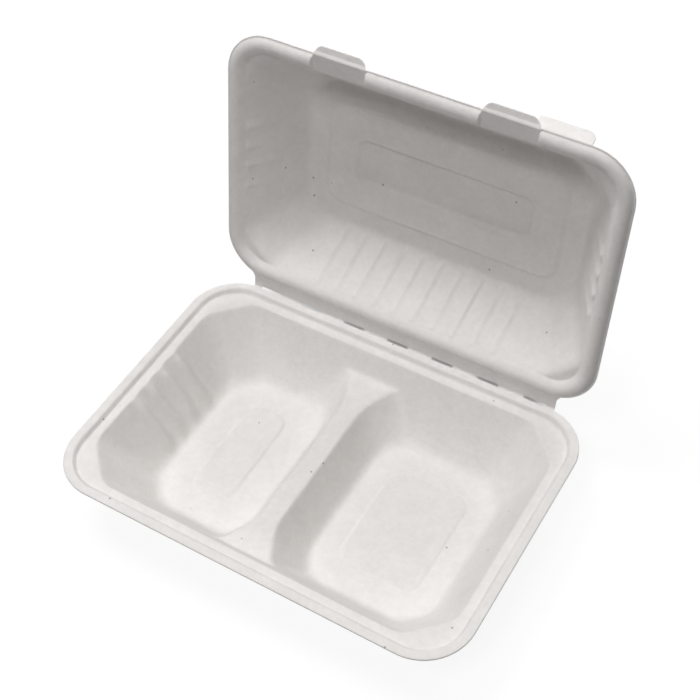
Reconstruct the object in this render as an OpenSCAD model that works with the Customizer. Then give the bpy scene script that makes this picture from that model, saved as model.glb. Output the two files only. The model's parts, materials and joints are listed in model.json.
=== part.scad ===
// Clamshell food container moulded from bagasse pulp, standing open.
// A tray with two compartments and a domed lid, joined along a perforated crease.
// Frame: X runs along the crease, +Y points from the front edge to the crease, Z is up.
// The origin is on the table, in the middle of the open container's length and width.

/* [Tray rim] */
// Width of the tray along the crease
tray_w = 240; // [200:1:280]
// Depth of the tray from its front edge to the crease
tray_d = 165.3; // [155:0.1:190]
// Height of the rim above the table
tray_h = 41.2; // [34:0.1:50]
// Thickness of the tray's pulp
tray_wall = 1.2; // [0.8:0.1:1.4]
// Radius of the flange's corners
corner_r = 28; // [24:1:34]
// Width of the flat flange outside the step
flange_w = 5.4; // [4.6:0.1:6]
// Drop from the flange to the ledge that takes the lid's bead
step_h = 2.8; // [2.7:0.1:4]
// Width of that ledge
ledge_w = 5; // [4.6:0.1:6]

/* [Compartments] */
// Draft of the moulded walls, from the vertical
draft = 30; // [24:1:32]
// Radius between a wall and the floor
floor_r = 9; // [6:0.5:11]
// Middle of the divider, left of the tray's middle
divider_shift = 6.2; // [0:0.1:12]
// Width of the divider's top between its two slopes
divider_w = 11; // [9:0.5:15]
// Depth of the divider's top below the rim
divider_drop = 15; // [11:0.5:18]
// Draft of the divider's two slopes
divider_draft = 26; // [20:1:30]
// How far the wall corners are cut off at the ledge
corner_cut = 20; // [16:1:22]
// How far the wall corners are cut off at the floor
floor_cut = 14; // [10:1:16]

/* [Flutes] */
// Flutes on each fluted short wall
side_flutes = 4; // [2:1:5]
// Distance between flutes
flute_pitch = 12.2; // [10:0.1:13]
// Height of the flutes on the short walls
side_flute_h = 1.2; // [0.6:0.1:1.6]
// Flutes on the lid's back wall
back_flutes = 10; // [4:1:11]
// Width of one flute on the lid's back wall
back_flute_w = 5; // [3:0.5:8]
// Height of the flutes on the lid's back wall
back_flute_h = 1.1; // [0.6:0.1:1.6]

/* [Floor pads] */
// Height of the pads pressed up in the floors
pad_h = 0.8; // [0.4:0.1:1.2]
// Length of both pads, front to back
pad_d = 67; // [50:1:72]
// Width of the pad in the small compartment
small_pad_w = 26; // [22:1:34]
// Width of the pad in the large compartment
large_pad_w = 48; // [30:1:54]
// Corner radius of the pads
pad_r = 10; // [5:0.5:10]

/* [Lid] */
// Opening angle of the lid
lid_open = 101.5; // [90:0.5:130]
// Inner depth of the lid
lid_h = 37; // [28:0.5:37]
// Thickness of the lid's pulp
lid_wall = 0.6; // [0.6:0.05:1]
// Distance of the lid's short sides inside the tray's outline
side_inset = 6; // [5.8:0.1:7]
// Distance of the lid's long sides inside the tray's outline
end_inset = 7; // [6.6:0.1:8]
// Radius of the lid's corners
lid_r = 25.5; // [22:0.5:30]
// Width of the flat lip round the bead
lip_w = 1.2; // [0.8:0.1:1.4]
// Height of the bead that plugs into the tray
bead_h = 2.3; // [1.6:0.1:2.3]
// Width of the bead
bead_w = 8.4; // [7:0.1:9]
// Radius between the lid's walls and its top
dome_r = 8; // [5:0.5:10]
// How far the crease reaches into the lid's corners at both ends
crease_over = 7; // [3:0.5:9]
// Radius in the necks beside the crease
neck_r = 4; // [3:0.5:6]

/* [Panels in the lid's top] */
// Width of the panel pressed inward
panel_w = 143; // [115:1:150]
// Length of that panel, front to back
panel_d = 65; // [50:1:70]
// Depth of that panel
panel_h = 1; // [0.5:0.1:1.5]
// Corner radius of that panel
panel_r = 11; // [6:0.5:14]
// Width of the bar pressed outward in the panel
bar_w = 106; // [70:1:110]
// Length of that bar, front to back
bar_d = 27; // [15:1:32]
// Height of that bar
bar_h = 1.6; // [0.8:0.1:1.8]
// Corner radius of that bar
bar_r = 6; // [4:0.5:8]

/* [Tabs] */
// Distance of each closing tab from the middle
tab_x = 47; // [38:1:50]
// Width of a closing tab at its root
tab_w = 31; // [26:1:34]
// Width of a closing tab at its tip
tab_tip_w = 25; // [18:1:28]
// Reach of a closing tab beyond the lid's outline
tab_reach = 4.9; // [4:0.1:5.5]
// Width of the lift tab at the right front corner
lift_w = 25; // [15:1:25]
// Height of the lift tab, bent up from the lip
lift_h = 7.5; // [4:0.5:10]

/* [Perforation] */
// Slits along the crease
slits = 7; // [3:2:7]
// Length of one slit
slit_l = 12.5; // [6:0.5:16]
// Distance from the crease's ends to the outer slits
slit_end = 5.2; // [3:0.1:12]
// Width of one slit on each side of the crease line
slit_w = 0.5; // [0.3:0.1:1]

/* [Hidden] */
// Clearance between the shut sheets and between each sheet and the crease line
fold_gap = 0.3;
// Overlap that keeps joined solids joined
bite = 0.02;
// Segments of each softened corner of an outline
corner_n = 3;
crease_y = tray_d / 2;
crease_z = tray_h + fold_gap / 2;
inner_h = tray_h - tray_wall;
// Run of the step between flange and ledge, and the ledge's inner edge
step_run = 0.7;
ledge_edge = flange_w + step_run + ledge_w;
// Tangent lengths of the rounded edge of the ledge and of the divider
edge_t = 1.2;
ridge_t = 2.2;
lid_w = tray_w - 2 * side_inset;
crease_w = lid_w - 2 * lid_r + 2 * crease_over;
slit_pitch = (crease_w - slit_l - 2 * slit_end) / (slits - 1);
lid_back = -end_inset;
lid_front = end_inset - tray_d;
lid_mid = (lid_back + lid_front) / 2;
// Inset and height at which the lid's walls leave the bead
wall_in = lip_w + bead_w + 1;
wall_z = 2;
pulp = [0.93, 0.92, 0.89];

function mix(a, b, t) = a + (b - a) * min(1, max(0, t));

// Points of a softened corner at v between its neighbours a and b
function soften(v, a, b, t, n) =
    let (p = v + t * (a - v) / norm(a - v), q = v + t * (b - v) / norm(b - v))
    [for (i = [0:n]) let (s = i / n) (1 - s) * (1 - s) * p + 2 * s * (1 - s) * v + s * s * q];

// Corner cut k = [x, y] after the outline has moved outward by g all round
function grown(k, g) =
    let (h = norm(k)) [k.x + g * (k.x + k.y - h) / k.y, k.y + g * (k.x + k.y - h) / k.x];

// Cut and soft length that give an arc of radius r
function arc_cut(r) = [0.586 * r, 0.586 * r];
function arc_soft(r) = 0.41 * r;

// Outline of a rectangle x, y with cut and softened corners at height z. Corners run back right,
// back left, front left, front right. The flutes of three sides are [place, offset] pairs.
function outline(x, y, z, cuts, softs, right = [], back = [], left = []) =
    let (
        v = [
            [x[1], y[1] - cuts[0].y], [x[1] - cuts[0].x, y[1]],
            [x[0] + cuts[1].x, y[1]], [x[0], y[1] - cuts[1].y],
            [x[0], y[0] + cuts[2].y], [x[0] + cuts[2].x, y[0]],
            [x[1] - cuts[3].x, y[0]], [x[1], y[0] + cuts[3].y]
        ],
        c = [for (i = [0:7]) soften(v[i], v[(i + 7) % 8], v[(i + 1) % 8], softs[floor(i / 2)], corner_n)]
    )
    [for (p = concat(
        [for (f = right) [x[1] - f[1], f[0]]], c[0], c[1],
        [for (f = back) [f[0], y[1] - f[1]]], c[2], c[3],
        [for (f = left) [x[0] + f[1], f[0]]], c[4], c[5], c[6], c[7]
    )) [p.x, p.y, z]];

// Solid through outlines with equal numbers of points, from the first to the last
module loft(rings) {
    m = len(rings[0]);
    n = len(rings);
    polyhedron(
        points = [for (r = rings) each r],
        faces = concat(
            [[for (j = [0:m - 1]) j]],
            [[for (j = [0:m - 1]) n * m - 1 - j]],
            [for (i = [0:n - 2], j = [0:m - 1]) let (a = i * m, b = a + m, k = (j + 1) % m)
                each [[a + j, b + j, b + k], [a + j, b + k, a + k]]]
        )
    );
}

// Profile p moved off its own line by t, to its left
function thick(p, t) = [for (i = [0:len(p) - 1])
    let (
        e = len(p) - 1,
        u = i == 0 ? p[1] - p[0] : p[i] - p[i - 1],
        w = i == e ? p[e] - p[e - 1] : p[i + 1] - p[i],
        s = [-u.y, u.x] / norm(u) + [-w.y, w.x] / norm(w)
    ) p[i] + 2 * t * s / (s * s)];

// Inset at depth d of a wall with draft a that starts at inset e, depth d0, and runs into the
// floor at depth d1 with radius r
function wall_inset(d, e, d0, a, d1, r) =
    d <= d1 - r * (1 - sin(a)) ? e + (d - d0) * tan(a)
    : e + (d1 - d0) * tan(a) + r * tan((90 - a) / 2) - r * sqrt(max(0, 1 - pow((d - d1 + r) / r, 2)));

// Part of a flute's height that is left at depth d
function fade(d, d1, r) = mix(1, 0.02, (d - d1 + r) / (0.75 * r));

// Round flutes side by side
function waves(n, pitch, h, sign, mid = 0) = [for (k = [0:4 * n])
    [mid + sign * (k - 2 * n) * pitch / 4, h * pow(sin(45 * (k % 4)), 2)]];

// Narrow flutes with flat wall between them, from right to left
function ridges(n, pitch, w, h) = [for (k = [0:n - 1], e = [1, 0.4, -0.4, -1])
    [(n - 1 - 2 * k) * pitch / 2 + e * w / 2, abs(e) < 1 ? h : 0]];

// Plate with round corners, its middle at the origin
module plate(w, d, r, h) {
    linear_extrude(h) hull() {
        for (x = [-1, 1], y = [-1, 1]) translate([x * (w / 2 - r), y * (d / 2 - r)]) circle(r, $fn = 48);
    }
}

// Raised plate of size w, d at height 0, with edges at 45 degrees that run on down to -sink
module boss(w, d, r, h, sink) {
    loft([for (i = [-sink, h])
        let (k = arc_cut(r - i), t = arc_soft(r - i))
        outline([i - w / 2, w / 2 - i], [i - d / 2, d / 2 - i], i, [k, k, k, k], [t, t, t, t])]);
}

// Step, ledge and upper wall of the tray as [inset, depth], down to the divider's top
rim_line = [
    [flange_w - 0.4, -1], [flange_w - 0.4, 0], [flange_w, 0.5], [flange_w + 0.4, step_h - 0.5],
    [flange_w + step_run, step_h], [ledge_edge - edge_t, step_h],
    [ledge_edge - edge_t / 8, step_h + edge_t / 4],
    [ledge_edge + edge_t * sin(draft), step_h + edge_t * cos(draft)],
    [ledge_edge + (divider_drop - step_h) * tan(draft), divider_drop]
];

function wall_cut(d) = mix(corner_cut, floor_cut, (d - step_h) / (inner_h - step_h));
function wall_soft(d) = mix(8, 6, (d - step_h) / (inner_h - step_h));

// Outline of the tray's upper part. k is the place in the rim's profile.
function rim_ring(k, i, d, g) =
    let (
        arc = k < 5,
        cut = arc ? arc_cut(corner_r - i) : grown([wall_cut(d), wall_cut(d)], g),
        s = arc ? arc_soft(corner_r - i) : wall_soft(d)
    )
    outline([i - tray_w / 2, tray_w / 2 - i], [i - tray_d / 2, tray_d / 2 - i], tray_h - d,
        [cut, cut, cut, cut], [s, s, s, s],
        left = waves(side_flutes, flute_pitch, arc ? 0 : side_flute_h, -1));

// Space above the divider, or with grow the solid round it
module tray_upper(grow) {
    line = grow > 0 ? thick(rim_line, grow) : rim_line;
    g = grow / cos(draft);
    deep = divider_drop + grow;
    loft(concat(
        [rim_ring(8, ledge_edge + (deep - step_h) * tan(draft) - g, deep, g)],
        [for (k = [7:-1:grow > 0 ? 1 : 0])
            let (i = line[k][0], d = grow > 0 && k == 1 ? grow / 2 : line[k][1])
            rim_ring(k, i, d, rim_line[k][0] - i)]));
}

// Rounded edge of the divider as [reach into the compartment, depth below the divider's top]
ridge_round = soften([0, 0], [-1, 0], [sin(divider_draft), cos(divider_draft)], ridge_t, 3);

// Space of one compartment, or with grow the solid round it. side is -1 on the left.
module pit(side, grow) {
    g = grow / cos(draft);
    floor_d = inner_h + grow;
    r = floor_r + grow;
    top = grow > 0 ? [for (e = [0.6, 1]) e * grow] : [for (p = ridge_round) p.y];
    depths = concat([for (e = top) divider_drop + e], [floor_d - 1.2 * r],
        [for (k = [0:4]) floor_d - r * (1 - sin(mix(draft, 90, k / 4)))]);
    loft([for (k = [len(depths) - 1:-1:0])
        let (
            d = depths[k],
            shy = grow > 0 && k == 0 ? bite : 0,
            wall = wall_inset(d, ledge_edge, step_h, draft, floor_d, r) - g + shy,
            slope = wall_inset(d, 0, divider_drop, divider_draft, floor_d, r) - grow / cos(divider_draft),
            lean = grow == 0 && k < 4 ? ridge_round[k].x : slope - shy,
            outer = tray_w / 2 - wall,
            edge = side * (divider_w / 2 + lean) - divider_shift,
            x = side < 0 ? [-outer, edge] : [edge, outer],
            t = (d - divider_drop) / (inner_h - divider_drop),
            far = grown([wall_cut(d), wall_cut(d)], g),
            near = grown([mix(10, 9, t), mix(20, 14, t)], g),
            a = wall_soft(d),
            b = mix(9, 7, t),
            h = side < 0 ? side_flute_h * fade(d, inner_h, floor_r) : 0,
            lift = grow == 0 && k == 0 ? bite : 0
        )
        outline(x, [wall - tray_d / 2, tray_d / 2 - wall], tray_h - d + lift,
            side < 0 ? [near, far, far, near] : [far, near, near, far],
            side < 0 ? [b, a, a, b] : [a, b, b, a],
            left = side < 0 ? waves(side_flutes, flute_pitch, h, -1) : [])]);
}

// Middle of a compartment's floor
function pit_mid(side) =
    let (
        outer = tray_w / 2 - ledge_edge - (inner_h - step_h) * tan(draft),
        inner = side * (divider_w / 2 + (inner_h - divider_drop) * tan(divider_draft)) - divider_shift
    ) (side * outer + inner) / 2;

// Pad on a floor, or with below its hollow on the underside
module pad(side, w, below) {
    less = below ? 0.83 * tray_wall : 0;
    translate([pit_mid(side), 0, below ? 0 : tray_wall]) {
        boss(w - less, pad_d - less, pad_r - less / 2, pad_h, tray_wall / 2);
    }
}

// Row of slits with round ends along the X axis
module slit_row(w) {
    for (k = [0:slits - 1]) translate([(k - (slits - 1) / 2) * slit_pitch, 0]) hull() {
        for (m = [-1, 1]) translate([m * (slit_l - w) / 2, 0]) circle(w / 2, $fn = 16);
    }
}

module tray() {
    color(pulp) translate([0, -mid_y, 0]) difference() {
        union() {
            difference() {
                union() {
                    translate([0, -fold_gap / 2, tray_h - tray_wall]) {
                        plate(tray_w, tray_d - fold_gap, corner_r, tray_wall);
                    }
                    tray_upper(tray_wall);
                    pit(-1, tray_wall);
                    pit(1, tray_wall);
                }
                tray_upper(0);
                pit(-1, 0);
                pit(1, 0);
            }
            pad(-1, small_pad_w, false);
            pad(1, large_pad_w, false);
        }
        pad(-1, small_pad_w, true);
        pad(1, large_pad_w, true);
        translate([0, crease_y - fold_gap, tray_h - 2 * tray_wall]) {
            linear_extrude(3 * tray_wall) slit_row(2 * slit_w);
        }
    }
}

// The lid is drawn shut, with the crease on the X axis, the front at -Y and its top at +Z.
// Lip and bead as [inset, height], from the foot of the wall to the lip's edge
bead_line = [
    [wall_in, wall_z], [wall_in - 1.2, 0.1], [wall_in - 2.4, -0.55 * bead_h], [wall_in - 3.6, -0.9 * bead_h],
    [lip_w + 0.5 * bead_w, -bead_h], [lip_w + 0.3 * bead_w, -0.93 * bead_h],
    [lip_w + 0.14 * bead_w, -0.62 * bead_h], [lip_w + 0.04 * bead_w, -0.25 * bead_h],
    [lip_w - 0.2, fold_gap / 2], [0, fold_gap / 2]
];

function dome_inset(z) = wall_inset(z, wall_in, wall_z, draft, lid_h, dome_r);

// Inside of the lid from its top down to the lip's edge
function lid_line() = concat(
    [[dome_inset(lid_h) + 4, lid_h]],
    [for (k = [0:4]) let (z = lid_h - dome_r * (1 - sin(mix(90, draft, k / 4)))) [dome_inset(z), z]],
    [for (z = [lid_h - 1.2 * dome_r, wall_z + 4]) [dome_inset(z), z]],
    bead_line);

// Outline of the lid. zr is the height of the same place on the inside.
function lid_ring(i, z, zr, g) =
    let (
        arc = zr < wall_z,
        k = mix(18, 13, (zr - wall_z) / (lid_h - wall_z)),
        cut = arc ? arc_cut(lid_r - i) : grown([k, k], g),
        s = arc ? arc_soft(lid_r - i) : 7,
        a = arc ? 0 : fade(zr, lid_h, dome_r),
        h = side_flute_h * a
    )
    outline([i - lid_w / 2, lid_w / 2 - i], [lid_front + i, lid_back - i], z,
        [cut, cut, cut, cut], [s, s, s, s],
        right = waves(side_flutes, flute_pitch, h, 1, lid_mid),
        back = ridges(back_flutes, flute_pitch, back_flute_w, back_flute_h * a),
        left = waves(side_flutes, flute_pitch, h, -1, lid_mid));

function reversed(p) = [for (k = [len(p) - 1:-1:0]) p[k]];

// Outside of the lid from the lip's edge up to its top
function lid_outside() = thick(reversed(lid_line()), lid_wall);

// Where the middle of the open container lies behind the middle of the tray
mid_y = max([for (p = lid_outside()) (lid_front + p[0]) * cos(lid_open) + p[1] * sin(lid_open)]) / 2;

// Down the inside from the top to the lip's edge, and up the outside again
module lid_shell() {
    inner = lid_line();
    n = len(inner);
    back = reversed(inner);
    outer = lid_outside();
    loft(concat(
        [for (p = inner) lid_ring(p[0], p[1], p[1], 0)],
        [for (k = [0:n - 1]) lid_ring(outer[k][0], outer[k][1], back[k][1], back[k][0] - outer[k][0])]));
}

// Panel pressed into the lid's top and the bar pressed outward in it
module panel(w, d, r, h, z, up) {
    translate([0, lid_mid, z]) mirror([0, 0, up ? 0 : 1]) boss(w, d, r, h, lid_wall / 2);
}

// Section of a closing tab as [distance outside the lid's outline, height]
tab_line = [
    [-wall_in - 0.24, wall_z + 0.5], [-wall_in + 0.6, wall_z - 0.9], [-7.8, 0.6], [-0.9, -0.8],
    [-0.2, -0.9], [0.4, -0.6], [1.3, 0.5], [tab_reach, 2.3]
];

module tab_outline() {
    root = wall_in + 1;
    polygon(concat(
        [[-tab_w / 2, root]],
        soften([-tab_w / 2, 0.6], [-tab_w / 2, root], [-tab_tip_w / 2, -tab_reach], 0.8, 4),
        soften([-tab_tip_w / 2, -tab_reach], [-tab_w / 2, 0.6], [0, -tab_reach], 2.6, 6),
        soften([tab_tip_w / 2, -tab_reach], [0, -tab_reach], [tab_w / 2, 0.6], 2.6, 6),
        soften([tab_w / 2, 0.6], [tab_tip_w / 2, -tab_reach], [tab_w / 2, root], 0.8, 4),
        [[tab_w / 2, root]]));
}

module tab(x) {
    up = [for (p = tab_line) [-p[0], p[1]]];
    intersection() {
        translate([x - tab_w / 2, lid_front, 0]) rotate([90, 0, 90]) {
            linear_extrude(tab_w) polygon(concat(up, thick(reversed(up), lid_wall)));
        }
        translate([x, lid_front, -2]) linear_extrude(6) tab_outline();
    }
}

// Closes the bead where a tab interrupts it
module bead_end(x) {
    mid = thick(reversed(bead_line), lid_wall / 2);
    translate([x - 0.55 * lid_wall, lid_front, 0]) rotate([90, 0, 90]) linear_extrude(1.1 * lid_wall) {
        polygon([for (k = [1:len(mid) - 1]) mid[k]]);
    }
}

// Tab for lifting the lid, bent up from the lip beside the right closing tab
module lift_tab() {
    z = fold_gap / 2;
    line = [[0.9, z + 0.1], [-0.1, z + 0.1], [-2.4, z + lift_h + 1]];
    translate([tab_x + tab_w / 2 + 1, lid_front, 0]) intersection() {
        rotate([90, 0, 90]) linear_extrude(lift_w) polygon(concat(line, thick(reversed(line), lid_wall)));
        translate([0, 4, 0]) rotate([90, 0, 0]) linear_extrude(8) hull() {
            translate([0, -1]) square([lift_w, 2]);
            translate([1.5, z + lift_h - 1.5]) circle(1.5, $fn = 24);
            translate([lift_w - 4, z + lift_h - 4]) circle(4, $fn = 48);
        }
    }
}

// Sheet from the lip to the crease, with round necks at its ends
module crease_strip() {
    x = crease_w / 2 + neck_r;
    y = lid_back - lid_r + sqrt(pow(lid_r + neck_r, 2) - pow(x - lid_w / 2 + lid_r, 2));
    turn = atan2(y - lid_back + lid_r, x - lid_w / 2 + lid_r);
    translate([0, 0, fold_gap / 2]) linear_extrude(lid_wall) difference() {
        union() {
            translate([-crease_w / 2, lid_back - lip_w]) square([crease_w, lip_w - lid_back - fold_gap]);
            for (m = [0, 1]) mirror([m, 0]) polygon(concat(
                [[crease_w / 2 - 1, lid_back - lip_w], [crease_w / 2 - 1, y]],
                [for (k = [0:6]) [x, y] + neck_r * [cos(180 + k * turn / 6), sin(180 + k * turn / 6)]],
                [[x + (neck_r + 0.8) * cos(180 + turn), y + (neck_r + 0.8) * sin(180 + turn)]]));
        }
        translate([0, -fold_gap]) slit_row(2 * slit_w);
    }
}

module lid() {
    deep = lid_h - panel_h;
    less = 0.83 * lid_wall;
    color(pulp) translate([0, crease_y - mid_y, crease_z]) rotate([-lid_open, 0, 0]) difference() {
        union() {
            difference() {
                union() {
                    lid_shell();
                    panel(panel_w, panel_d, panel_r, panel_h, lid_h, false);
                }
                panel(panel_w - less, panel_d - less, panel_r - less / 2, panel_h, lid_h + lid_wall, false);
                for (x = [-tab_x, tab_x]) translate([x, lid_front + wall_in / 2 - 1, wall_z - 3]) {
                    cube([tab_w, wall_in + 2, 6], center = true);
                }
            }
            panel(bar_w + less, bar_d + less, bar_r + less / 2, bar_h, deep + lid_wall, true);
            for (x = [-tab_x, tab_x]) {
                tab(x);
                bead_end(x - tab_w / 2);
                bead_end(x + tab_w / 2);
            }
            lift_tab();
            crease_strip();
        }
        panel(bar_w, bar_d, bar_r, bar_h, deep, true);
    }
}

tray();
lid();
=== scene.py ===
import json
import math

import bpy
import numpy as np
from bpy.props import FloatProperty, FloatVectorProperty, PointerProperty
from mathutils import Matrix


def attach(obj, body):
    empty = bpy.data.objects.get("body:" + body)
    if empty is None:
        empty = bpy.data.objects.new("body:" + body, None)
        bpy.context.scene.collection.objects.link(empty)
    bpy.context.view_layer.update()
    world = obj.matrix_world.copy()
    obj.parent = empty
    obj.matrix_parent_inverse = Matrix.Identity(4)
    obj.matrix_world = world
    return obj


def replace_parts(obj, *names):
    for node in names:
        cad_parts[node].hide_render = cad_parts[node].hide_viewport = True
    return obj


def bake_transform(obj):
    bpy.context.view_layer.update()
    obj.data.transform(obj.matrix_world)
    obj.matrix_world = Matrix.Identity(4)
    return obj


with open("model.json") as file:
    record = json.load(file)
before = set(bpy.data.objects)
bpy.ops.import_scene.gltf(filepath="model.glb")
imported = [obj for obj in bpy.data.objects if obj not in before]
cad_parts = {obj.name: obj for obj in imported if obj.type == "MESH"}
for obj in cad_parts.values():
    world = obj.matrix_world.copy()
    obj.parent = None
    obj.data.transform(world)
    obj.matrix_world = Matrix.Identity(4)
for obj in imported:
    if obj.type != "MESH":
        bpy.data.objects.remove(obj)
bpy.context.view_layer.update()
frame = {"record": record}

bl_info = {
    "name": "Pulp clamshell",
    "version": (1, 0, 0),
    "blender": (4, 5, 0),
    "location": "3D View > Sidebar > Clamshell",
    "description": "Open food container moulded from bagasse pulp, with its studio",
    "category": "Add Mesh",
}

CREASE = next(joint for joint in frame["record"]["behaviour"]["joints"] if joint["name"] == "crease")
CREASE_Y, CREASE_Z = CREASE["pos_m"][1] * 1000, CREASE["pos_m"][2] * 1000


# Sizes and colours

def length(name, text, default):
    """A size in metres."""
    return FloatProperty(name=name, description=text, default=default, min=0, precision=4,
                         unit="LENGTH", subtype="DISTANCE")


def colour(name, text, default):
    """A linear colour."""
    return FloatVectorProperty(name=name, description=text, default=default, min=0, max=1, size=3, subtype="COLOR")


def power(name, text, default):
    """A lamp's power in watts."""
    return FloatProperty(name=name, description=text, default=default, min=0, unit="POWER")


class TraySizes(bpy.types.PropertyGroup):
    """Sizes of the tray."""

    width: length("Width", "Width of the tray along the crease", 0.240)
    depth: length("Depth", "Depth of the tray from its front edge to the crease", 0.1653)
    height: length("Height", "Height of the rim above the table", 0.0412)
    wall: length("Wall", "Thickness of the pulp", 0.0012)
    radius: length("Corner radius", "Radius of the flange's corners", 0.028)
    flange: length("Flange", "Width of the flat flange", 0.0054)
    step: length("Step", "Drop from the flange to the ledge", 0.0028)
    ledge: length("Ledge", "Distance of the ledge's inner edge from the outline", 0.0111)
    floor_blend: length("Floor blend", "Size of the round between walls and floor", 0.0052)
    divider_x: length("Divider shift", "Distance of the divider left of the middle", 0.0062)
    divider_width: length("Divider width", "Width of the divider's top", 0.011)
    divider_drop: length("Divider drop", "Depth of the divider's top below the rim", 0.015)
    pad_height: length("Pad height", "Height of the pads in the floors", 0.0012)
    flute_height: length("Flute height", "Height of the flutes on the left wall", 0.0028)


class LidSizes(bpy.types.PropertyGroup):
    """Sizes of the lid."""

    width: length("Width", "Width of the lid along the crease", 0.228)
    front: length("Front", "Distance of the lid's front edge from the crease", 0.1583)
    back: length("Strip", "Width of the strip between the lid and the crease", 0.007)
    depth: length("Depth", "Inner depth of the lid", 0.0366)
    wall: length("Wall", "Thickness of the pulp", 0.0006)
    radius: length("Corner radius", "Radius of the lid's corners", 0.0255)
    flute_height: length("Side flute height", "Height of the flutes on the short walls", 0.0018)
    back_flute: length("Back flute height", "Height of the flutes on the wall at the crease", 0.0017)
    tab_x: length("Tab distance", "Distance of the closing tabs from the middle", 0.047)
    tab_width: length("Tab width", "Width of a closing tab at its root", 0.031)
    tab_tip: length("Tab tip", "Width of a closing tab at its tip", 0.025)
    crease_width: length("Crease", "Length of the crease", 0.191)
    open: FloatProperty(name="Opening angle", description="Angle between the shut and the open lid",
                        default=math.radians(101.5), subtype="ANGLE")


class PulpLook(bpy.types.PropertyGroup):
    """Look of the bagasse pulp."""

    light: colour("Pale fibre", "Colour of the palest pulp", (0.91, 0.883, 0.863))
    dark: colour("Dense fibre", "Colour of the pulp where it is dense", (0.825, 0.80, 0.782))
    speck: colour("Speck", "Colour of the bits of stalk in the pulp", (0.30, 0.22, 0.15))
    roughness: FloatProperty(name="Roughness", description="Roughness of the surface", default=0.9, min=0, max=1)


class StudioLook(bpy.types.PropertyGroup):
    """Light, floor and camera."""

    front: power("Front lamp", "Power of the small lamp high in front", 10.0)
    left: power("Left lamp", "Power of the main lamp, above and to the left", 17.5)
    right: power("Right lamp", "Power of the lamp above and to the right", 4.2)
    back: power("Back lamp", "Power of the large lamp behind the lid", 13.5)
    fill: FloatProperty(name="Fill", description="Strength of the light from all round", default=0.03, min=0)
    floor: colour("Floor", "Colour of the card under the container", (0.3, 0.3, 0.3))
    lens: FloatProperty(name="Lens", description="Focal length", default=68.98, min=10, unit="CAMERA")


# Shapes, all in millimetres

# Distance between the flutes' middles, on the tray and on the lid
FLUTE_PITCH = 12.2
# Angle of the walls and of the divider's sides from upright, as way inward over depth
DRAFT = math.tan(math.radians(30))
DIVIDER = math.tan(math.radians(26))
# Each floor pad's middle and width along X. Both are as deep, and have the same corner radius.
PADS = ((-55.7, 26), (49.5, 48))
PAD_DEPTH, PAD_RADIUS = 67, 10
# Where the lid's walls start: the distance from the outline, and the height
LID_WALL_INSET, LID_WALL_HEIGHT = 10.6, 2
# Width, depth, corner radius, height and slope of the raised panel in the lid and of the bar sunk into it
PANEL = (143, 65, 11, 1.5, 1.5)
BAR = (106, 27, 6, 2.5, 1.9)
# How far the closing tabs stick out, and how high the lift tab stands
TAB_REACH, LIFT = 4.6, 7.5
# The slits in the crease: distance between their middles, half their length, and the outer ones' number
SLIT_PITCH, SLIT_HALF, SLIT_LAST = 28, 6.25, 3


def soft_above(x, r):
    """x where it is positive and 0 where it isn't. Between -r and r it is the square of x + r, over 4 r."""
    return np.where(x >= r, x, np.where(x <= -r, 0.0, (x + r) ** 2 / (4 * r)))


def lower(a, b, r):
    """The smaller of a and b, with a round of size r where they cross."""
    return a - soft_above(a - b, r)


def ease(x, a, b):
    """0 before a and 1 after b, with the cubic 3 t t - 2 t t t between them."""
    t = np.clip((x - a) / (b - a), 0, 1)
    return t * t * (3 - 2 * t)


def spread(low, high, count, marks, width, extra):
    """count + 1 places from low to high that stand closer together within width of each mark."""
    x = np.linspace(low, high, 4001)
    density = 1 + extra * sum(np.exp(-(((x - m) / width) ** 2)) for m in marks)
    total = np.concatenate([[0], np.cumsum((density[1:] + density[:-1]) / 2)])
    return np.interp(np.linspace(0, total[-1], count + 1), total, x)


def plateau(x, y, width, depth, radius, slope):
    """1 on a rectangle with round corners and 0 outside it, falling over slope inside its edge."""
    dx, dy = np.abs(x) - width / 2 + radius, np.abs(y) - depth / 2 + radius
    outside = np.hypot(np.maximum(dx, 0), np.maximum(dy, 0)) + np.minimum(np.maximum(dx, dy), 0) - radius
    return ease(-outside, 0, slope)


def waves(y, count, pitch, power=2):
    """Round flutes side by side: a power of the sine of y over the pitch, inside count pitches."""
    return np.where(np.abs(y) < count * pitch / 2, np.abs(np.sin(np.pi * (y / pitch - count / 2))) ** power, 0)


def ridges(x, count, pitch, width):
    """Narrow flutes with flat wall between them: a squared cosine over each one's width."""
    from_middle = (x + count * pitch / 2) % pitch - pitch / 2
    inside = (np.abs(from_middle) < width / 2) & (np.abs(x) < count * pitch / 2)
    return np.where(inside, np.cos(np.pi * from_middle / width) ** 2, 0)


def new_object(name, points, faces, body):
    """A smooth mesh of points in millimetres, as a piece that rides on body."""
    mesh = bpy.data.meshes.new(name)
    mesh.from_pydata((np.asarray(points) * 0.001).tolist(), [], faces)
    mesh.polygons.foreach_set("use_smooth", np.ones(len(mesh.polygons), bool))
    mesh.update()
    mesh.materials.append(bpy.data.materials["moulded pulp"])
    obj = bpy.data.objects.new(name, mesh)
    bpy.context.scene.collection.objects.link(obj)
    if body:
        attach(obj, body)
    return obj


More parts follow.
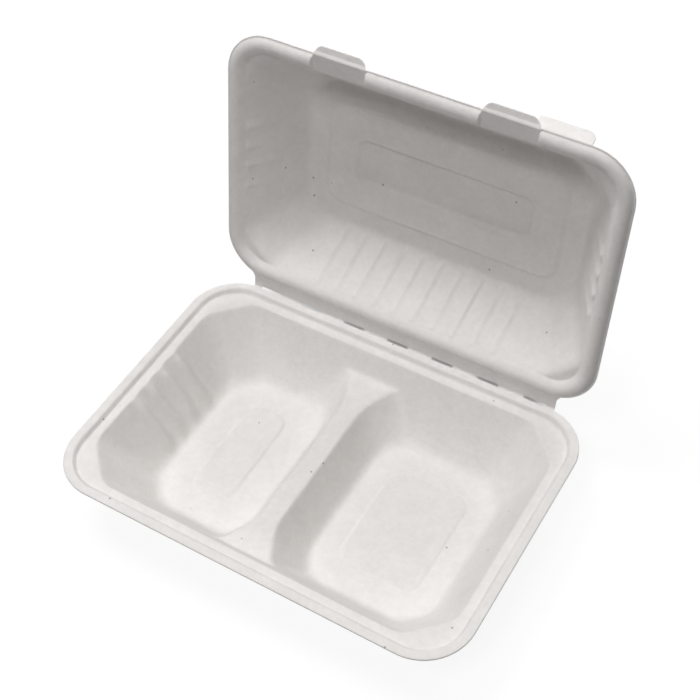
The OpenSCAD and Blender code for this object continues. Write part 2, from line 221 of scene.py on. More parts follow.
class Net:
    """Places of a sheet with round corners: rings from the outline inward, then a grid inside the last ring.

    x, y and inset hold every place. side is the Y part of the outline's direction outward: 1 on the rings'
    stretches that face +Y, -1 where they face -Y, and 0 in the grid."""

    def __init__(self, xs, ys, radius, insets, arc):
        cx, cy = xs[-1], ys[-1]
        turn = np.linspace(0, np.pi / 2, arc + 2)[1:-1]
        bx, by, nx, ny = [], [], [], []
        for line, angle in ((xs, -np.pi / 2), (ys, 0), (xs[::-1], np.pi / 2), (ys[::-1], np.pi)):
            flat = abs(math.sin(angle)) > 0.5
            bx.append(line if flat else np.full(len(line), cx * round(math.cos(angle))))
            by.append(np.full(len(line), cy * round(math.sin(angle))) if flat else line)
            nx.append(np.full(len(line), round(math.cos(angle))))
            ny.append(np.full(len(line), round(math.sin(angle))))
            sx = 1 if math.cos(angle + 0.1) > 0 else -1
            sy = 1 if math.sin(angle + 0.1) > 0 else -1
            bx.append(np.full(arc, cx * sx))
            by.append(np.full(arc, cy * sy))
            nx.append(np.cos(angle + turn))
            ny.append(np.sin(angle + turn))
        bx, by, nx, ny = (np.concatenate(a).astype(float) for a in (bx, by, nx, ny))
        out = (radius - np.array(insets))[:, None]
        self.rings, self.around = len(insets), len(bx)
        gx, gy = np.meshgrid(xs, ys, indexing="ij")
        edge = np.minimum(cx - np.abs(gx), cy - np.abs(gy)) + radius
        self.x = np.concatenate([(bx + nx * out).ravel(), gx.ravel()])
        self.y = np.concatenate([(by + ny * out).ravel(), gy.ravel()])
        self.inset = np.concatenate([np.repeat(insets, self.around), edge.ravel()])
        self.side = np.concatenate([np.tile(ny, self.rings), np.zeros(gx.size)])
        self.cells = (len(xs), len(ys))
        first = self.rings * self.around
        column = np.abs(xs[:, None] - bx).argmin(0)
        row = np.abs(ys[:, None] - by).argmin(0)
        self.inner = first + column * len(ys) + row
        self.faces = self.all_faces(first)

    def all_faces(self, first):
        """Quads between the rings, from the last ring to the grid, and inside the grid, seen from +Z."""
        m = self.around
        loop = np.vstack([np.arange(first).reshape(self.rings, m), self.inner])
        a, b = loop[:-1], loop[1:]
        quads = np.stack([a, np.roll(a, -1, 1), np.roll(b, -1, 1), b], -1).reshape(-1, 4)
        nx, ny = self.cells
        g = first + np.arange(nx * ny).reshape(nx, ny)
        grid = np.stack([g[:-1, :-1], g[1:, :-1], g[1:, 1:], g[:-1, 1:]], -1).reshape(-1, 4)
        return np.vstack([quads, grid])

    def closed(self, top, under):
        """Points and faces of the closed sheet between the heights top and under. Both share the outline."""
        n, m = len(self.x), self.around
        lower_points = np.stack([self.x, self.y, under], 1)[m:]
        points = np.concatenate([np.stack([self.x, self.y, top], 1), lower_points])
        low = np.where(self.faces < m, self.faces, self.faces + n - m)[:, ::-1]
        faces = []
        for quad in np.vstack([self.faces, low]).tolist():
            kept = [v for k, v in enumerate(quad) if v != quad[k - 1]]
            faces.append(kept)
        return points, faces


def round_edge(inset, r):
    """How far a sheet's face lies from its middle near its edge, as a share of r: a quarter circle."""
    t = 1 - np.clip(inset / r, 0, 1)
    return r * (1 - np.sqrt(1 - t * t))


def slab(grid, edge, thickness):
    """Closed sheet round the surface in grid. edge is each point's distance from the rim, where both faces meet."""
    du, dv = np.gradient(grid, axis=0), np.gradient(grid, axis=1)
    normal = np.cross(du, dv)
    normal /= np.linalg.norm(normal, axis=2, keepdims=True)
    half = (thickness / 2 - round_edge(edge, thickness / 2))[..., None]
    a, b = grid.shape[:2]
    rim = np.zeros((a, b), bool)
    rim[[0, -1], :] = rim[:, [0, -1]] = True
    upper = np.arange(a * b).reshape(a, b)
    under = np.where(rim, upper, upper + a * b)
    points = np.concatenate([(grid + normal * half).reshape(-1, 3), (grid - normal * half).reshape(-1, 3)])
    faces = []
    for g, flip in ((upper, 1), (under, -1)):
        quads = np.stack([g[:-1, :-1], g[1:, :-1], g[1:, 1:], g[:-1, 1:]], -1).reshape(-1, 4)
        faces += quads[:, ::flip].tolist()
    used = np.unique(np.array(faces))
    place = np.zeros(len(points), int)
    place[used] = np.arange(len(used))
    return points[used], place[np.array(faces)].tolist()


def walls(x, y, half_x, half_y, start, z, cut, cut_less, deep, grow, soft, left=0.0, right=0.0, back=0.0):
    """Depth of the four drafted walls and the planes across their corners at x, y.

    A wall's depth is its start depth z, plus the way inside its start over the draft's tangent. A corner's plane does
    the same with both ways added, less the cut. grow moves all of them out by the pulp's thickness. left, right and
    back are the flutes' heights, which stand inward of those walls."""
    ux = np.minimum(half_x + x - left, half_x - x - right) - start
    uy = np.minimum(half_y + y, half_y - y - back) - start
    slope = 2 * DRAFT - cut_less / deep
    flat = lower(z + ux / DRAFT, z + uy / DRAFT, 3) + 2 * grow
    corner = z + (ux + uy - cut) / slope + grow * math.sqrt(1 + 2 / slope**2)
    return lower(flat, corner, soft)


def tray_depth(net, s, grow):
    """Depth of the tray's inside below the rim, or with grow of its outside.

    The divider's sides fall at the divider's angle. At its ends a curved face widens it, whose depth h below the
    divider's top is the smaller root of 0.13 h h - b h + c. Here c is 20 times the way from the top's edge plus 10
    times the way from the end wall, less 200. Each pit is the lowest of the walls, the side and that face, cut off
    at the floor. What lies above the divider's top belongs to both compartments and is added once."""
    x, y, e, d = net.x, net.y, s["ledge"], s["step"]
    floor = s["height"] - s["wall"]
    raw = d + (s["width"] / 2 + x - e) / DRAFT
    flute = s["flute_height"] * waves(y, 4, FLUTE_PITCH, 2.5) * (net.inset > 8)
    flute = flute * (0.25 + 0.75 * ease(raw, d, d + 11)) * (1 - ease(raw, floor - 7, floor - 1))
    w = walls(x, y, s["width"] / 2, s["depth"] / 2, e, d, 20, 6, floor - d, grow, 7, left=flute)
    top = s["divider_drop"]
    depth = soft_above(w - d - grow, 0.7 + grow / 2) - soft_above(w - top - grow, 1.6 + grow / 2)
    across = s["depth"] / 2 - np.abs(y) - e - (top - d) * DRAFT
    for sign in (-1, 1):
        along = sign * (x + s["divider_x"]) - s["divider_width"] / 2
        slope = top + along / DIVIDER + grow / math.sin(math.atan(DIVIDER))
        b = 20 * DIVIDER + 10 * DRAFT - 3.2 + 0.24 * along + 0.04 * across
        c = 20 * along + 10 * across - 200
        root = np.sqrt(np.maximum(b * b - 0.52 * c, 0.01))
        flare = top + 2 * c / (np.maximum(b, 1) + root) + 1.79 * grow
        pit = lower(lower(w, lower(slope, flare, 7), 8), floor + grow, s["floor_blend"] + grow)
        depth = depth + soft_above(pit - top - grow, 1.6 + grow / 2)
    f = s["flange"]
    rim_in = ([0, f - 1.4, f - 0.8, f - 0.3, f + 0.7, f + 1.1, f + 1.6, 99],
              [0, 0, 0.12, 0.5, d - 0.5, d - 0.12, d, d])
    rim_out = ([0, f - 2.4, f - 1.6, f - 0.1, f + 0.4, 99],
               [grow, grow, grow + 0.5, d + grow - 0.4, d + grow, d + grow])
    rim = np.interp(net.inset, *(rim_out if grow else rim_in))
    less = 0.83 * grow
    for middle, width in PADS:
        depth = depth - s["pad_height"] * plateau(x - middle, y, width - less, PAD_DEPTH - less, PAD_RADIUS, 1.3)
    return rim + depth


def millimetres(group):
    """A property group's lengths in millimetres."""
    return {k: getattr(group, k) * 1000 for k in group.__annotations__ if isinstance(getattr(group, k), float)}


def build_tray(sizes):
    """The tray: one closed sheet with its flange, step, ledge, two compartments, divider, flutes and pads."""
    s = millimetres(sizes)
    r, t = s["radius"], s["wall"]
    hx, hy = s["width"] / 2 - r, s["depth"] / 2 - r
    edge_x = s["divider_width"] / 2
    xs = spread(-hx, hx, 168, [-69, -43, 25.5, 73.5, edge_x - 6.2, -edge_x - 6.2], 2.0, 1.2)
    ys = spread(-hy, hy, 100, [-33.5, 33.5], 2.0, 1.4)
    f = s["flange"]
    insets = [0, 0.06, 0.25, 0.6, 1.5, 2.8]
    insets += [f + way for way in (-1.5, -1.1, -0.8, -0.5, -0.2, 0.2, 0.6, 0.9, 1.2)]
    insets += list(np.arange(f + 1.7, 9.4, 0.9)) + list(np.arange(9.6, 13.5, 0.45))
    insets += list(np.linspace(13.8, r - 0.7, 17))
    net = Net(xs, ys, r, insets, 20)
    top = -tray_depth(net, s, 0) - round_edge(net.inset, t / 2)
    under = -tray_depth(net, s, t) + round_edge(net.inset, t / 2)
    points, faces = net.closed(top, under)
    inset = np.concatenate([net.inset, net.inset[net.around:]])
    points[:, 1] -= 0.6 * np.clip(1 - inset / 5, 0, 1) * (points[:, 1] > hy)
    points += [0, CREASE_Y - s["depth"] / 2, s["height"]]
    return new_object("tray_pulp", points, faces, "tray")


def lid_height(net, s, grow):
    """Height of the lid's inside above its lip's plane, drawn shut, or with grow of its outside.

    It is the rim's profile, plus the part of the walls above the rim, cut off at the ceiling with a round. The
    panel is taken off the ceiling and the bar put on. At a closing tab the rim's profile is the tab's root."""
    hx, hy = s["width"] / 2, (s["front"] - s["back"]) / 2
    x, y, inset = net.x, net.y, net.inset
    start, low = LID_WALL_INSET, LID_WALL_HEIGHT
    raw = low + (hy + y - start) / DRAFT
    rise = ease(raw, 0, 3) * (0.4 + 0.6 * ease(raw, 3, 26))
    rise = rise * (1 - ease(raw, s["depth"] - 4, s["depth"] + 1))
    back = s["back_flute"] * ridges(x, 10, FLUTE_PITCH, 5.0) * rise * (inset > 9)
    side = s["flute_height"] * waves(y, 4, FLUTE_PITCH, 4) * (inset > 8.2)
    raw = low + (hx - np.abs(x) - start) / DRAFT
    side = side * ease(raw, -2, 0.5) * (1 - 0.55 * ease(raw, 4, 14) - 0.45 * ease(raw, 16, s["depth"] - 5))
    w = walls(x, -y, hx, hy, start, low, 18, 5, s["depth"] - low, grow, 6, left=side, right=side, back=back)
    bead = ([0, 1.0, 1.5, 2.4, 3.7, 5.4, 7.0, 8.2, 9.4, 10.3, 99],
            [0.15, 0.15, -0.5, -1.43, -2.1, -2.3, -2.0, -1.2, 0.1, 1.4, 1.4])
    tab = ([0, 0.2, 0.9, 7.8, 10.0, start, 99], [-0.85, -0.9, -0.8, 0.6, 1.1, 1.4, 1.4])
    at_tab = ease(s["tab_width"] / 2 - np.abs(np.abs(x) - s["tab_x"]), -0.45, 0.45) * (net.side > 0.9)
    rim = np.interp(inset + grow * 0.3, *bead) * (1 - at_tab) + np.interp(inset, *tab) * at_tab
    ceiling = s["depth"] + grow
    level = lower(w, ceiling, 4.8 + grow) - 1.4 - grow
    corner = ease(np.abs(x) - hx + 36, 0, 16) * ease(np.abs(y) - hy + 36, 0, 16)
    height = rim + grow + soft_above(level, 0.8 + 3.4 * corner)
    less = 0.83 * grow
    for (width, depth, radius, high, slope), sign in ((PANEL, -1), (BAR, 1)):
        area = plateau(x, y, width + sign * less, depth + sign * less, radius, slope)
        height = height + sign * high * area
    return height


def to_open(points, angle):
    """Turns points of the shut lid, drawn with the crease on the X axis, to the open lid's place."""
    x, y, z = points[..., 0], points[..., 1], points[..., 2]
    c, s = math.cos(angle), math.sin(angle)
    return np.stack([x, CREASE_Y + y * c + z * s, CREASE_Z - y * s + z * c], -1)


def build_lid(sizes):
    """The lid's bowl: one closed sheet with its lip, bead, fluted walls, panels and the roots of the tabs."""
    s = millimetres(sizes)
    r, t = s["radius"], s["wall"]
    hx, hy = s["width"] / 2 - r, (s["front"] - s["back"]) / 2 - r
    ends = [m * s["tab_x"] + n * s["tab_width"] / 2 for m in (-1, 1) for n in (-1, 1)]
    xs = spread(-hx, hx, 190, ends, 0.9, 2.5)
    ys = spread(-hy, hy, 92, [-32.5, 32.5, -13.5, 13.5], 1.6, 1.2)
    insets = [0, 0.03, 0.12, 0.3, 0.7, 1.0, 1.3, 1.7, 2.3, 3.0, 3.8, 4.7, 5.6, 6.5, 7.3, 8.0, 8.7, 9.4, 9.9]
    insets += list(np.arange(10.4, 13, 0.5)) + list(np.linspace(13.4, r - 0.7, 14))
    net = Net(xs, ys, r, insets, 18)
    inside = lid_height(net, s, 0) + round_edge(net.inset, t / 2)
    outside = lid_height(net, s, t) - round_edge(net.inset, t / 2)
    points, faces = net.closed(outside, inside)
    points[:, 1] = -points[:, 1] - (s["front"] + s["back"]) / 2
    faces = [face[::-1] for face in faces]
    return new_object("lid_pulp", to_open(points, sizes.open), faces, "lid")


def build_tabs(sizes):
    """The two closing tabs: sheets that leave the lip, dip at their root and flare to a rounded tip."""
    s = millimetres(sizes)
    reach = TAB_REACH
    out = np.array([-0.7, -0.6, -0.4, -0.2, 0.1, 0.4, 0.7, 1.0, 1.3, 1.8,
                    2.4, 3.0, 3.5, 3.9, 4.2, 4.4, 4.52, 4.57, reach])
    height = np.interp(out, [-0.9, -0.2, 0.4, 1.3, reach], [-0.8, -0.9, -0.6, 0.2, 0.9])
    height = np.convolve(np.pad(height, 1, mode="edge"), [0.25, 0.5, 0.25], "valid") + s["wall"] / 2
    wide = np.interp(out, [-1, 0.3, reach], [s["tab_width"] / 2, s["tab_width"] / 2 - 0.4, s["tab_tip"] / 2])
    r = 2.4
    wide = wide - r + np.sqrt(np.maximum(r * r - np.maximum(out - reach + r, 0) ** 2, 0.01))
    u = np.array([-1, -0.997, -0.985, -0.96, *np.linspace(-0.9, 0.9, 24), 0.96, 0.985, 0.997, 1])
    for name, middle in (("closing_tab_left", -s["tab_x"]), ("closing_tab_right", s["tab_x"])):
        x = middle + u[:, None] * wide
        y = np.broadcast_to(-s["front"] - out, x.shape)
        z = np.broadcast_to(height, x.shape)
        edge = np.minimum((1 - np.abs(u))[:, None] * wide, np.minimum(reach - out, out + 0.7))
        points, faces = slab(np.stack([x, y, z], -1), edge, s["wall"] * 1.1)
        new_object(name, to_open(points, sizes.open), faces, "lid")


def build_lift_tab(sizes):
    """The lift tab: a sheet bent up from the lip beside the right closing tab, with a round outer corner."""
    s = millimetres(sizes)
    high = np.array([0, 0.1, 0.3, 0.8, 1.6, 2.6, 3.6, 4.6, 5.6, 6.4, 7.0, 7.2, 7.35, LIFT])
    root = s["tab_x"] + s["tab_width"] / 2 + 0.4
    start, width = root - 4.6, 29.6
    r, small = 5.0, 1.4
    right = start + width - r + np.sqrt(np.maximum(r * r - np.maximum(high - LIFT + r, 0) ** 2, 0.01))
    left = start + small - np.sqrt(np.maximum(small**2 - np.maximum(high - LIFT + small, 0) ** 2, 0.01))
    u = np.array([0, 0.004, 0.012, 0.03, *np.linspace(0.07, 0.93, 16), 0.97, 0.988, 0.996, 1])
    x = left + u[:, None] * (right - left)
    y = np.broadcast_to(-s["front"] + 0.2 - 2.1 * high / LIFT - 0.5 * (high / LIFT) ** 3, x.shape)
    z = 0.35 + high - 0.9 * np.clip(1 - high / 2, 0, 1) * (x < root)
    edge = np.minimum(np.minimum(u, 1 - u)[:, None] * (right - left), np.minimum(high, LIFT - high))
    points, faces = slab(np.stack([x, y, z], -1), edge, s["wall"] * 1.05)
    new_object("lift_tab", to_open(points, sizes.open), faces, "lid")


def build_crease(sizes):
    """The strip from the lip to the crease, and the bridges between the slits, bent to the lid's opening angle."""
    s = millimetres(sizes)
    half, neck, t = s["crease_width"] / 2, 4.0, s["wall"]
    r, angle = s["radius"], sizes.open
    level = 0.15 + t / 2
    v = np.array([0.3, 0.35, 0.45, 0.7, 1.4, 2.6, 3.8, 4.8, 5.4, 5.9, 6.4, 6.8, 7.1, 7.4, 7.55, 7.6])
    turn = np.clip((v - 5.0) / 2.6, 0, 1)
    wide = half + neck * (1 - np.cos(turn * math.radians(68)))
    u = np.array([-1, -0.9995, -0.998, -0.996, *np.linspace(-0.99, 0.99, 72), 0.996, 0.998, 0.9995, 1])
    x = u[:, None] * wide
    drop = r - np.sqrt(r * r - np.clip(np.abs(x) - s["width"] / 2 + r, 0, r * 0.9) ** 2)
    y = -(v + drop * turn)
    z = np.full_like(x, level)
    edge = np.minimum((1 - np.abs(u))[:, None] * wide, np.minimum(v - 0.3, 7.6 - v))
    points, faces = slab(np.stack([x, y, z], -1), edge, t)
    parts, all_faces, count = [to_open(points, angle)], list(faces), len(points)
    slits = range(-SLIT_LAST, SLIT_LAST + 1)
    ends = [-half] + [k * SLIT_PITCH + m * SLIT_HALF for k in slits for m in (-1, 1)] + [half]
    bend = np.linspace(0, 1, 9)[1:-1]
    a = np.array([[-w, -level] for w in (1.6, 1.5, 1.3, 0.9)])
    b = to_open(np.array([[0, -w, level] for w in (0.8, 1.2, 1.4, 1.5)]), angle)[:, 1:] - [CREASE_Y, CREASE_Z]
    knee = np.array([b[0, 0] - (b[0, 1] + level) * 0.203, -level])
    curve = [(1 - w) ** 2 * a[-1] + 2 * w * (1 - w) * knee + w * w * b[0] for w in bend]
    line = np.vstack([a, curve, b])
    way = np.concatenate([[0], np.cumsum(np.linalg.norm(np.diff(line, axis=0), axis=1))])
    for low, high in zip(ends[::2], ends[1::2]):
        width = high - low
        u = np.array([0, 0.1, 0.3, *np.linspace(0.8, width - 0.8, 6), width - 0.3, width - 0.1, width])
        x = np.broadcast_to((low + u)[:, None], (len(u), len(line)))
        y = np.broadcast_to(CREASE_Y + line[:, 0], x.shape)
        z = np.broadcast_to(CREASE_Z + line[:, 1], x.shape)
        edge = np.minimum(np.minimum(u, width - u)[:, None], np.minimum(way, way[-1] - way))
        points, faces = slab(np.stack([x, y, z], -1), edge, t * 0.9)
        parts.append(points)
        all_faces += [[i + count for i in face] for face in faces]
        count += len(points)
    obj = new_object("crease_pulp", np.vstack(parts), all_faces, None)
    (CREASE_Y - 0.5) * 0.001
    (CREASE_Z - 0.4) * 0.001
    (CREASE_Y + 0.35) * 0.001
    (CREASE_Z + 0.45) * 0.001
    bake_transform(obj)
    return obj


# Materials

class Socket:
    """A shader socket that can be added to, subtracted from, multiplied and divided."""

    def __init__(self, tree, socket):
        self.tree, self.socket = tree, socket

    def node(self, kind, inputs=None, output=0, **settings):
        """Adds a node of any kind with its settings and inputs, and returns one of its outputs."""
        node = self.tree.nodes.new(kind)
        for key, value in settings.items():
            setattr(node, key, value)
        for key, value in (inputs or {}).items():
            if isinstance(value, Socket):
                self.tree.links.new(value.socket, node.inputs[key])
            else:
                node.inputs[key].default_value = value
        return Socket(self.tree, node.outputs[output])

    def maths(self, kind, a, b):
        return self.node("ShaderNodeMath", {0: a, 1: b}, operation=kind)

    def __add__(self, other):
        return self.maths("ADD", self, other)

    __radd__ = __add__

    def __sub__(self, other):
        return self.maths("SUBTRACT", self, other)

    def __rsub__(self, other):
        return self.maths("SUBTRACT", other, self)

    def __mul__(self, other):
        return self.maths("MULTIPLY", self, other)

    __rmul__ = __mul__

    def __truediv__(self, other):
        return self.maths("DIVIDE", self, other)

    def __rtruediv__(self, other):
        return self.maths("DIVIDE", other, self)


def new_material(name):
    """An empty material, its Principled shader and a start for sockets."""
    material = bpy.data.materials.new(name)
    material.use_nodes = True
    tree = material.node_tree
    shader = next(n for n in tree.nodes if n.type == "BSDF_PRINCIPLED")
    return material, tree, shader, Socket(tree, None)


def pulp_material(look):
    """Pale pulp: clouds of denser fibre, a fine grain, a few specks of stalk, and a felted surface.

    The share of pale fibre is a weighted sum of three noises, less a constant. A speck is the middle of a Voronoi
    cell, in those cells whose random red is above a limit."""
    material, tree, shader, start = new_material("moulded pulp")
    place = start.node("ShaderNodeTexCoord", output="Object")
    cloud = start.node("ShaderNodeTexNoise", {"Vector": place, "Scale": 70.0, "Detail": 4.0, "Roughness": 0.6})
    grain = start.node("ShaderNodeTexNoise", {"Vector": place, "Scale": 900.0, "Detail": 3.0, "Roughness": 0.65})
    fleck = start.node("ShaderNodeTexNoise", {"Vector": place, "Scale": 330.0, "Detail": 3.0, "Roughness": 0.6})
    share = cloud * 1.3 + fleck * 1.3 + grain * 0.8 - 1.2
    colour_mix = start.node("ShaderNodeMix", {"Factor": share, "A": (*look.dark, 1), "B": (*look.light, 1)},
                            output=2, data_type="RGBA")
    cells = start.node("ShaderNodeTexVoronoi", {"Vector": place, "Scale": 90.0}, output="Distance")
    chance = start.node("ShaderNodeTexVoronoi", {"Vector": place, "Scale": 90.0}, output="Color")
    chosen = start.node("ShaderNodeSeparateColor", {"Color": chance})
    near = falling(cells, 0.03, 0.07)
    speck = near * start.node("ShaderNodeMath", {0: chosen, 1: 0.7}, operation="GREATER_THAN") * 0.75
    base = start.node("ShaderNodeMix", {"Factor": speck, "A": colour_mix, "B": (*look.speck, 1)},
                      output=2, data_type="RGBA")
    tree.links.new(base.socket, shader.inputs["Base Color"])
    shader.inputs["Roughness"].default_value = look.roughness
    shader.inputs["Specular IOR Level"].default_value = 0.25
    felt = start.node("ShaderNodeTexNoise", {"Vector": place, "Scale": 420.0, "Detail": 5.0, "Roughness": 0.7})
    wavy = start.node("ShaderNodeTexNoise", {"Vector": place, "Scale": 55.0, "Detail": 2.0})
    bump = start.node("ShaderNodeBump", {"Height": felt + wavy * 2.0, "Strength": 0.8, "Distance": 0.0003})
    tree.links.new(bump.socket, shader.inputs["Normal"])
    return material


def falling(value, near, far):
    """1 where value is below near and 0 where it is above far."""
    return value.node("ShaderNodeMapRange", {"Value": value, "From Min": near, "From Max": far,
                                             "To Min": 1.0, "To Max": 0.0})


def floor_material(look):
    """A floor that lights the object like grey card, and that the camera sees as white with the object's shadow.

    Below the leaning lid the camera sees plain pale card instead, so the slits in the crease show its shade."""
    material, tree, shader, start = new_material("floor")
    tree.nodes.remove(shader)
    seen = start.node("ShaderNodeLightPath", output="Is Camera Ray")
    glossy = start.node("ShaderNodeLightPath", output="Is Glossy Ray")
    clear = start.node("ShaderNodeLightPath", output="Is Transmission Ray")
    card = start.node("ShaderNodeBsdfDiffuse", {"Color": (*look.floor, 1)})
    shade = start.node("ShaderNodeBsdfDiffuse", {"Color": (0.14, 0.14, 0.14, 1)})
    glow = start.node("ShaderNodeEmission", {"Color": (1, 1, 1, 1), "Strength": 0.9})
    white = start.node("ShaderNodeAddShader", {0: shade, 1: glow})
    place = start.node("ShaderNodeTexCoord", output="Object")
    x = start.node("ShaderNodeSeparateXYZ", {"Vector": place})
    y = start.node("ShaderNodeSeparateXYZ", {"Vector": place}, output="Y")
    off_x = start.node("ShaderNodeMath", {0: x + 0.017}, operation="ABSOLUTE")
    off_y = start.node("ShaderNodeMath", {0: y - 0.081}, operation="ABSOLUTE")
    below = falling(off_x, 0.088, 0.100) * falling(off_y, 0.014, 0.028)
    pale = start.node("ShaderNodeBsdfDiffuse", {"Color": (0.85, 0.85, 0.85, 1)})
    white = start.node("ShaderNodeMixShader", {"Fac": below, 1: white, 2: pale})
    mixed = start.node("ShaderNodeMixShader", {"Fac": seen + glossy + clear, 1: card, 2: white})
    out = next(n for n in tree.nodes if n.type == "OUTPUT_MATERIAL")
    tree.links.new(mixed.socket, out.inputs["Surface"])
    return material


# Half the floor's side, and its height just under the container, in metres
FLOOR_HALF, FLOOR_Z = 6, -0.0002
# The lamps' distance, the point that they aim at, and each one's direction from there and diameter, in metres
LAMP_DISTANCE, LAMP_AIM = 2.0, (0, 0, 0.05)
LAMPS = {
    "front": ((0, -0.6, 1), 0.5),
    "left": ((-0.4, 0, 1), 0.8),
    "right": ((0.4, 0, 1), 0.8),
    "back": ((0, 1, 1), 1.4),
}
# The camera's azimuth, elevation and roll in degrees, and its place in millimetres from the middle of the rim
CAMERA_TURN = (34.206, 49.515, -4.326)
CAMERA_PLACE = (250.5, -333.3, 565.7)
RIM_MIDDLE = (0, CREASE_Y - 82.65, CREASE_Z - 0.15)


def build_studio(look):
    """Floor, world, lamps and camera."""
    mesh = bpy.data.meshes.new("floor")
    corners = [(x * FLOOR_HALF, y * FLOOR_HALF, FLOOR_Z) for x, y in ((-1, -1), (1, -1), (1, 1), (-1, 1))]
    mesh.from_pydata(corners, [], [(0, 1, 2, 3)])
    mesh.materials.append(floor_material(look))
    floor = bpy.data.objects.new("floor", mesh)
    bpy.context.scene.collection.objects.link(floor)

    world = bpy.data.worlds.new("studio")
    world.use_nodes = True
    tree = world.node_tree
    start = Socket(tree, None)
    seen = start.node("ShaderNodeLightPath", output="Is Camera Ray")
    glossy = start.node("ShaderNodeLightPath", output="Is Glossy Ray")
    clear = start.node("ShaderNodeLightPath", output="Is Transmission Ray")
    fill = start.node("ShaderNodeBackground", {"Color": (1, 1, 1, 1), "Strength": look.fill})
    white = start.node("ShaderNodeBackground", {"Color": (1, 1, 1, 1), "Strength": 1.0})
    mixed = start.node("ShaderNodeMixShader", {"Fac": seen + glossy + clear, 1: fill, 2: white})
    out = next(n for n in tree.nodes if n.type == "OUTPUT_WORLD")
    tree.links.new(mixed.socket, out.inputs["Surface"])
    bpy.context.scene.world = world

    for name, (aim, size) in LAMPS.items():
        lamp = bpy.data.lights.new(name, "AREA")
        lamp.shape, lamp.size, lamp.energy = "DISK", size, getattr(look, name)
        obj = bpy.data.objects.new(name + "_lamp", lamp)
        obj.matrix_world = facing(np.array(aim) / np.linalg.norm(aim), LAMP_DISTANCE, LAMP_AIM)
        bpy.context.scene.collection.objects.link(obj)

    camera = bpy.data.cameras.new("camera")
    camera.sensor_width, camera.lens = 36, look.lens
    camera.clip_start, camera.clip_end = 0.05, 20
    view = bpy.data.objects.new("camera", camera)
    az, el, roll = (math.radians(angle) for angle in CAMERA_TURN)
    back = np.array([math.sin(az) * math.cos(el), -math.cos(az) * math.cos(el), math.sin(el)])
    right = np.array([math.cos(az), math.sin(az), 0])
    up = np.cross(back, right)
    c, s = math.cos(roll), math.sin(roll)
    turned = np.stack([c * right + s * up, c * up - s * right, back], 1)
    matrix = Matrix.Identity(4)
    for i in range(3):
        for j in range(3):
            matrix[i][j] = turned[i, j]
    matrix.translation = [(a + b) * 0.001 for a, b in zip(CAMERA_PLACE, RIM_MIDDLE)]
    view.matrix_world = matrix
    bpy.context.scene.collection.objects.link(view)
    bpy.context.scene.camera = view
    bpy.context.scene.view_settings.view_transform = "Standard"


def facing(direction, distance, centre):
    """Place of a lamp at a distance from centre along direction, turned to shine back at it."""
    back = np.array(direction)
    side = np.cross([0, 1, 0], back)
    side /= np.linalg.norm(side)
    up = np.cross(back, side)
    matrix = Matrix.Identity(4)
    for i in range(3):
        matrix[i][0], matrix[i][1], matrix[i][2] = side[i], up[i], back[i]
    matrix.translation = [centre[i] + distance * back[i] for i in range(3)]
    return matrix


# Operators, panel and run

class CLAMSHELL_OT_pulp(bpy.types.Operator):
    """Make the pulp material."""

    bl_idname = "clamshell.pulp"
    bl_label = "Pulp material"

    def execute(self, context):
        pulp_material(context.scene.clamshell_pulp)
        return {"FINISHED"}


class CLAMSHELL_OT_tray(bpy.types.Operator):
    """Build the tray in place of its solid."""

    bl_idname = "clamshell.tray"
    bl_label = "Tray"

    def execute(self, context):
        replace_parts(build_tray(context.scene.clamshell_tray), "tray")
        return {"FINISHED"}


class CLAMSHELL_OT_lid(bpy.types.Operator):
    """Build the lid's bowl in place of its solid."""

    bl_idname = "clamshell.lid"
    bl_label = "Lid"

    def execute(self, context):
        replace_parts(build_lid(context.scene.clamshell_lid), "lid")
        return {"FINISHED"}


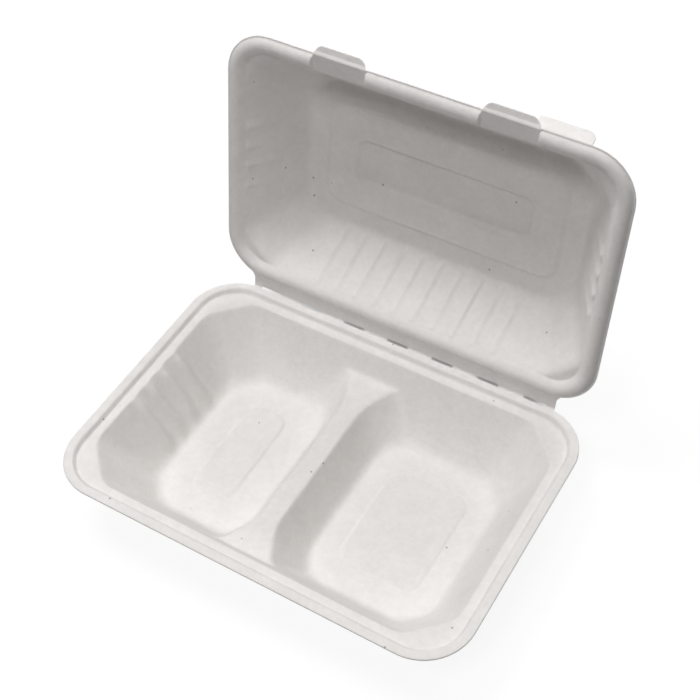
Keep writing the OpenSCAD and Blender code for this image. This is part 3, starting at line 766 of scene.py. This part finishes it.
class CLAMSHELL_OT_tabs(bpy.types.Operator):
    """Add the closing tabs and the lift tab to the lid."""

    bl_idname = "clamshell.tabs"
    bl_label = "Tabs"

    def execute(self, context):
        build_tabs(context.scene.clamshell_lid)
        build_lift_tab(context.scene.clamshell_lid)
        return {"FINISHED"}


class CLAMSHELL_OT_crease(bpy.types.Operator):
    """Add the perforated crease, bent to the lid's opening angle."""

    bl_idname = "clamshell.crease"
    bl_label = "Crease"

    def execute(self, context):
        build_crease(context.scene.clamshell_lid)
        return {"FINISHED"}


class CLAMSHELL_OT_studio(bpy.types.Operator):
    """Build the floor, the lamps and the camera."""

    bl_idname = "clamshell.studio"
    bl_label = "Studio"

    def execute(self, context):
        build_studio(context.scene.clamshell_studio)
        return {"FINISHED"}


class CLAMSHELL_PT_panel(bpy.types.Panel):
    """Lists the container's pieces, sizes and colours."""

    bl_label = "Clamshell"
    bl_idname = "CLAMSHELL_PT_panel"
    bl_space_type = "VIEW_3D"
    bl_region_type = "UI"
    bl_category = "Clamshell"

    def draw(self, context):
        for operator in OPERATORS:
            self.layout.operator(operator.bl_idname)
        for key in GROUPS:
            box = self.layout.box()
            group = getattr(context.scene, key)
            for name in group.__annotations__:
                box.prop(group, name)


GROUPS = {
    "clamshell_tray": TraySizes,
    "clamshell_lid": LidSizes,
    "clamshell_pulp": PulpLook,
    "clamshell_studio": StudioLook,
}
OPERATORS = (
    CLAMSHELL_OT_pulp,
    CLAMSHELL_OT_tray,
    CLAMSHELL_OT_lid,
    CLAMSHELL_OT_tabs,
    CLAMSHELL_OT_crease,
    CLAMSHELL_OT_studio,
)


def register():
    for cls in (*GROUPS.values(), *OPERATORS, CLAMSHELL_PT_panel):
        bpy.utils.register_class(cls)
    for key, cls in GROUPS.items():
        setattr(bpy.types.Scene, key, PointerProperty(type=cls))


def unregister():
    for key in GROUPS:
        delattr(bpy.types.Scene, key)
    for cls in (CLAMSHELL_PT_panel, *reversed(OPERATORS), *reversed(GROUPS.values())):
        bpy.utils.unregister_class(cls)


def main():
    register()
    bpy.ops.clamshell.pulp()
    bpy.ops.clamshell.tray()
    bpy.ops.clamshell.lid()
    bpy.ops.clamshell.tabs()
    bpy.ops.clamshell.crease()
    bpy.ops.clamshell.studio()


if __name__ == "__main__":
    main()
